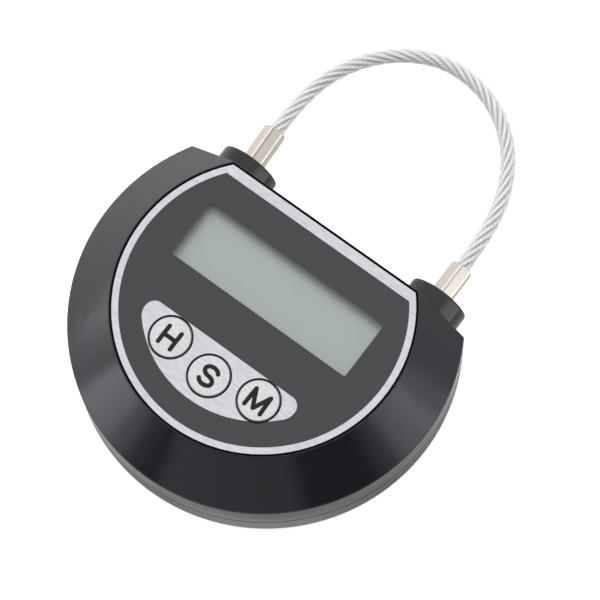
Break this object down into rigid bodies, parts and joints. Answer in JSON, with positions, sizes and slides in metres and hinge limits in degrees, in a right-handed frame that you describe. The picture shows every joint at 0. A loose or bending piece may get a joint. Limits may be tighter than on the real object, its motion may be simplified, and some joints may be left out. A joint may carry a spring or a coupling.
{
  "type": "timer padlock",
  "caption": "Electronic timer padlock: round body with one flat side, display, press keys, motor-driven latch bolt and a wire-rope shackle whose free end plugs into the body.",
  "frame": {"origin": "centre of the round body on its back face", "axes": "+Z out of the display face, +Y towards the shackle, +X towards the release end of the shackle"},
  "size_m": [0.065, 0.0877, 0.0197],
  "materials": {
    "black_abs_gloss": "glossy black moulded ABS",
    "black_abs_satin": "satin black moulded ABS",
    "panel_grey": "dark grey printed polycarbonate film",
    "brushed_foil": "brushed silver foil",
    "clear_window": "clear acrylic",
    "foam_black": "black foam and rubber",
    "lcd_glass": "reflective LCD, blank",
    "white_plastic": "white moulded plastic",
    "board_green": "green solder mask on glass-fibre board",
    "chip_black": "black epoxy",
    "key_silver": "silver-faced plastic key",
    "nickel_steel": "nickel-plated steel",
    "cell_foil": "aluminium-foil pouch cell",
    "pinion_brass": "machined brass",
    "housing_plastic": "dark grey moulded acetal",
    "barrel_nickel": "nickel-plated swaged barrel",
    "coated_rope": "steel wire rope in a clear PVC sleeve"
  },
  "bodies": {
    "case": {"front_shell": "black_abs_gloss", "rear_shell": "black_abs_satin", "face_panel": "panel_grey", "foil_border": "brushed_foil", "foil_key_patch": "brushed_foil", "display_window": "clear_window", "lcd_gasket": "foam_black", "lcd_panel": "lcd_glass", "lcd_frame": "white_plastic", "zebra_strip": "foam_black", "main_pcb": "board_green", "controller_chip": "chip_black", "tact_switches": "chip_black", "charge_socket": "nickel_steel", "battery_cell": "cell_foil", "battery_tape": "foam_black", "gear_motor": "nickel_steel", "motor_strap": "nickel_steel", "latch_housing": "housing_plastic", "latch_cover": "nickel_steel", "socket_sleeve": "nickel_steel", "release_collar": "black_abs_satin", "anchor_collar": "black_abs_satin", "anchor_terminal": "barrel_nickel", "anchor_clip": "nickel_steel", "shackle_cable": "coated_rope", "case_screws": "nickel_steel", "board_screws": "nickel_steel", "mechanism_screws": "nickel_steel"},
    "hour_button": {"hour_key": "key_silver", "hour_plunger": "white_plastic"},
    "set_button": {"set_key": "key_silver", "set_plunger": "white_plastic"},
    "minute_button": {"minute_key": "key_silver", "minute_plunger": "white_plastic"},
    "bolt": {"latch_bolt": "nickel_steel"},
    "pinion": {"drive_pinion": "pinion_brass"},
    "plug": {"release_plug": "barrel_nickel"}
  },
  "joints": [
    {"name": "hour_key_press", "type": "slide", "parent": "case", "child": "hour_button", "axis": [0, 0, -1], "range_m": [0, 0.00035], "stiffness_N_per_m": 800, "springref_m": -0.0005},
    {"name": "set_key_press", "type": "slide", "parent": "case", "child": "set_button", "axis": [0, 0, -1], "range_m": [0, 0.00035], "stiffness_N_per_m": 800, "springref_m": -0.0005},
    {"name": "minute_key_press", "type": "slide", "parent": "case", "child": "minute_button", "axis": [0, 0, -1], "range_m": [0, 0.00035], "stiffness_N_per_m": 800, "springref_m": -0.0005},
    {"name": "latch_slide", "type": "slide", "parent": "case", "child": "bolt", "axis": [1, 0, 0], "range_m": [0, 0.00175]},
    {"name": "pinion_turn", "type": "hinge", "parent": "case", "child": "pinion", "pos_m": [0.01055, 0.008, 0.0066], "axis": [0, 1, 0], "range_deg": [0, 50.2]},
    {"name": "plug_release", "type": "slide", "parent": "case", "child": "plug", "axis": [0, 1, 0], "range_m": [0, 0.0185], "deforming": ["shackle_cable"]}
  ],
  "couplings": [
    {"joint": "pinion_turn", "follows": "latch_slide", "rad_per_m": 500}
  ]
}
